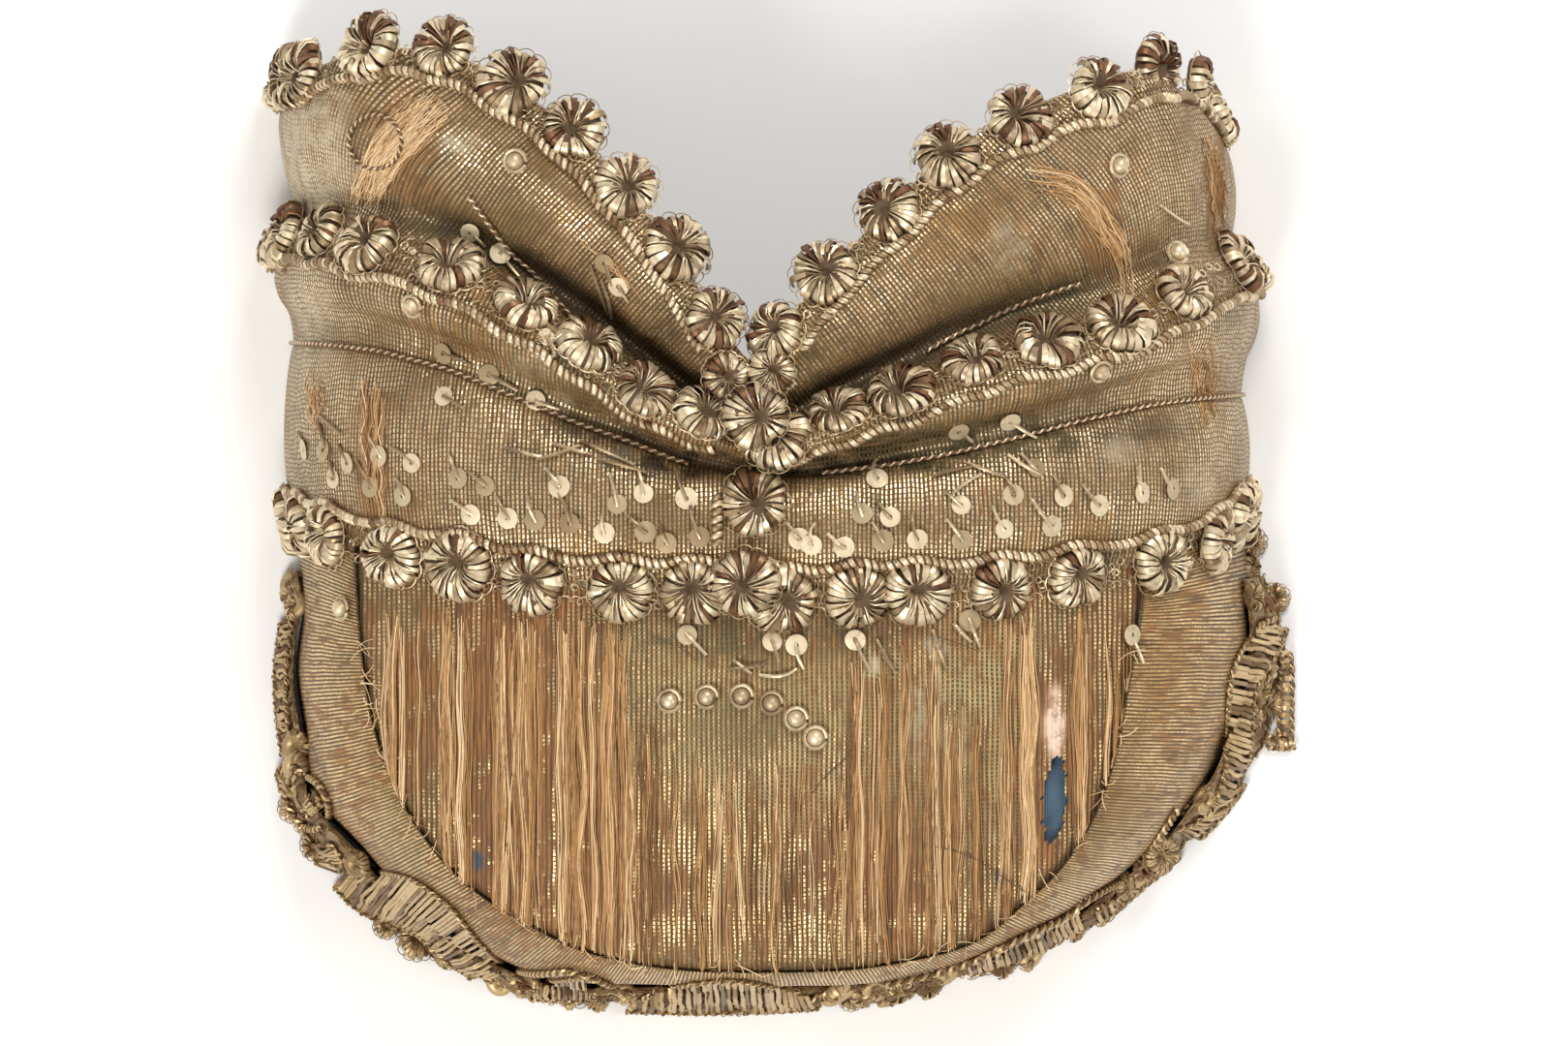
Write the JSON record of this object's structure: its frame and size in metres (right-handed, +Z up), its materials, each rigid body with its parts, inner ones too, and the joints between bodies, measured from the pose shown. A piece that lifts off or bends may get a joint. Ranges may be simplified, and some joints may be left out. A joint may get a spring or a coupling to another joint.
{
  "type": "bonnet",
  "caption": "Stiff padded bonnet of worn gold striped cloth: U-shaped back panel, three tiers gathered in a knot, rosette lace.",
  "frame": {"origin": "middle of the bounding box in plan, on the surface that the rim rests on", "axes": "+Z up, away from the wearer's head, out of the closed end; +Y from the back panel towards the two wings; +X to the right with the back panel facing the viewer and the wings up"},
  "size_m": [0.2028, 0.1952, 0.0832],
  "materials": {
    "striped_cloth": "worn metal-striped weave",
    "loose_silk": "frayed silk",
    "blue_cloth": "matte",
    "gilt_lace": "tarnished metal lace",
    "dull_lace": "dull metal lace"
  },
  "bodies": {
    "root": {"lower_tier": "striped_cloth", "middle_tier_left": "striped_cloth", "middle_tier_right": "striped_cloth", "upper_tier_left": "striped_cloth", "upper_tier_right": "striped_cloth", "side_band": "striped_cloth", "back_panel": "loose_silk", "tear_patch": "blue_cloth", "lower_lace": "gilt_lace", "middle_lace_left": "gilt_lace", "middle_lace_right": "gilt_lace", "upper_lace_left": "gilt_lace", "upper_lace_right": "gilt_lace", "knot_gimp": "gilt_lace", "seam_cord_left": "gilt_lace", "seam_cord_right": "gilt_lace", "wing_cord_left": "gilt_lace", "wing_cord_right": "gilt_lace", "knot_rosette_1": "gilt_lace", "knot_rosette_2": "gilt_lace", "knot_rosette_3": "gilt_lace", "knot_rosette_4": "gilt_lace", "knot_rosette_5": "gilt_lace", "stud_1": "gilt_lace", "stud_2": "gilt_lace", "stud_3": "gilt_lace", "stud_4": "gilt_lace", "stud_5": "gilt_lace", "stud_6": "gilt_lace", "stud_7": "gilt_lace", "stud_8": "gilt_lace", "stud_9": "gilt_lace", "stud_10": "gilt_lace", "stud_11": "gilt_lace", "stud_12": "gilt_lace", "rim_lace": "dull_lace"}
  },
  "joints": []
}
